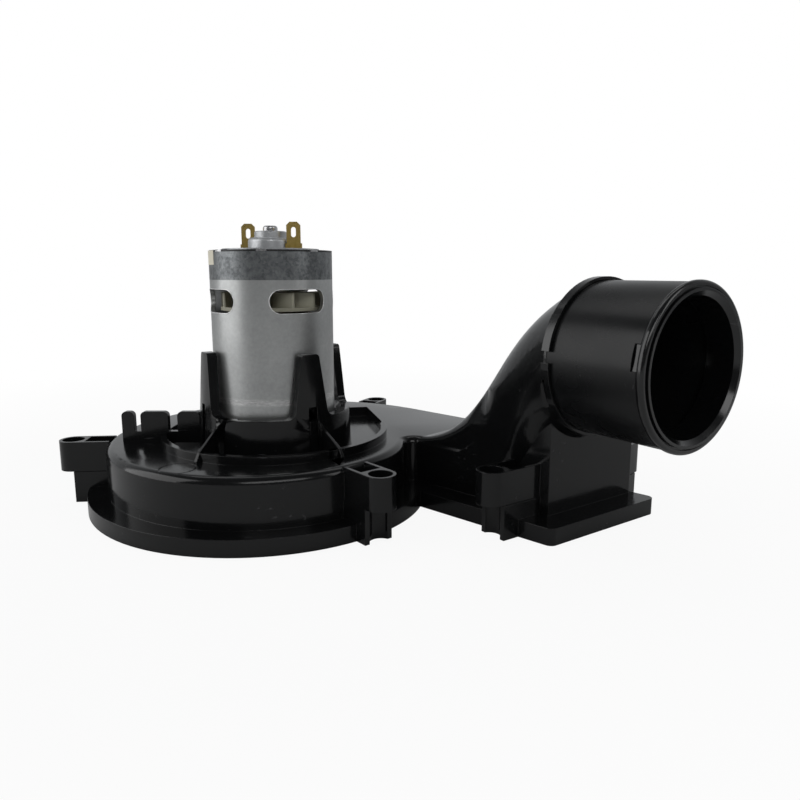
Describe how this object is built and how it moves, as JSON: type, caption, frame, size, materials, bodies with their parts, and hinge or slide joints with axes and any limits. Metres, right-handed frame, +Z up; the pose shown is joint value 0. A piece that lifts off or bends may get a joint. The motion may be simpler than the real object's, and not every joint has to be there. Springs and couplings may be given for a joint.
{
  "type": "blower fan",
  "caption": "Centrifugal blower: a brushed motor stands on a black scroll housing whose duct climbs an S-bend to a round outlet tube, with screw bosses round the rim.",
  "frame": {"origin": "on the motor axis, in the mounting plane at the centre of the intake", "axes": "+Z up the motor axis, -Y towards the side seen in the picture, +X towards the outlet"},
  "size_m": [0.2185, 0.1484, 0.0965],
  "materials": {
    "black_plastic": "satin black moulded plastic",
    "zinc_steel": "zinc-plated drawn steel",
    "cream_plastic": "cream moulded nylon",
    "sintered_bronze": "oiled sintered bronze",
    "bright_steel": "ground steel",
    "lamination_steel": "stacked laminations",
    "copper_wire": "enamelled copper wire",
    "copper_bars": "turned copper",
    "ferrite": "sintered ferrite",
    "carbon": "pressed carbon",
    "brass_tab": "stamped brass",
    "screw_steel": "zinc-plated screw"
  },
  "bodies": {
    "housing": {"brush_1": "carbon", "brush_2": "carbon", "brush_holder": "cream_plastic", "cover_screw_1": "screw_steel", "cover_screw_2": "screw_steel", "cover_screw_3": "screw_steel", "cover_screw_4": "screw_steel", "cover_screw_5": "screw_steel", "cover_screw_6": "screw_steel", "cover_screw_7": "screw_steel", "front_bearing": "sintered_bronze", "lower_cover": "black_plastic", "magnet_1": "ferrite", "magnet_2": "ferrite", "motor_can": "zinc_steel", "motor_end_plate": "zinc_steel", "motor_screw_1": "screw_steel", "motor_screw_2": "screw_steel", "outlet_end_ring": "black_plastic", "outlet_tube": "black_plastic", "rear_bearing": "sintered_bronze", "terminal_1": "brass_tab", "terminal_2": "brass_tab", "upper_housing": "black_plastic"},
    "rotor": {"motor_shaft": "bright_steel", "rotor_core": "lamination_steel", "rotor_winding": "copper_wire", "commutator": "copper_bars", "motor_fan": "cream_plastic", "impeller": "black_plastic", "impeller_clip": "bright_steel"}
  },
  "joints": [
    {"name": "rotor_spin", "type": "hinge", "parent": "housing", "child": "rotor", "pos_m": [0, 0, 0], "axis": [0, 0, 1], "continuous": true}
  ]
}
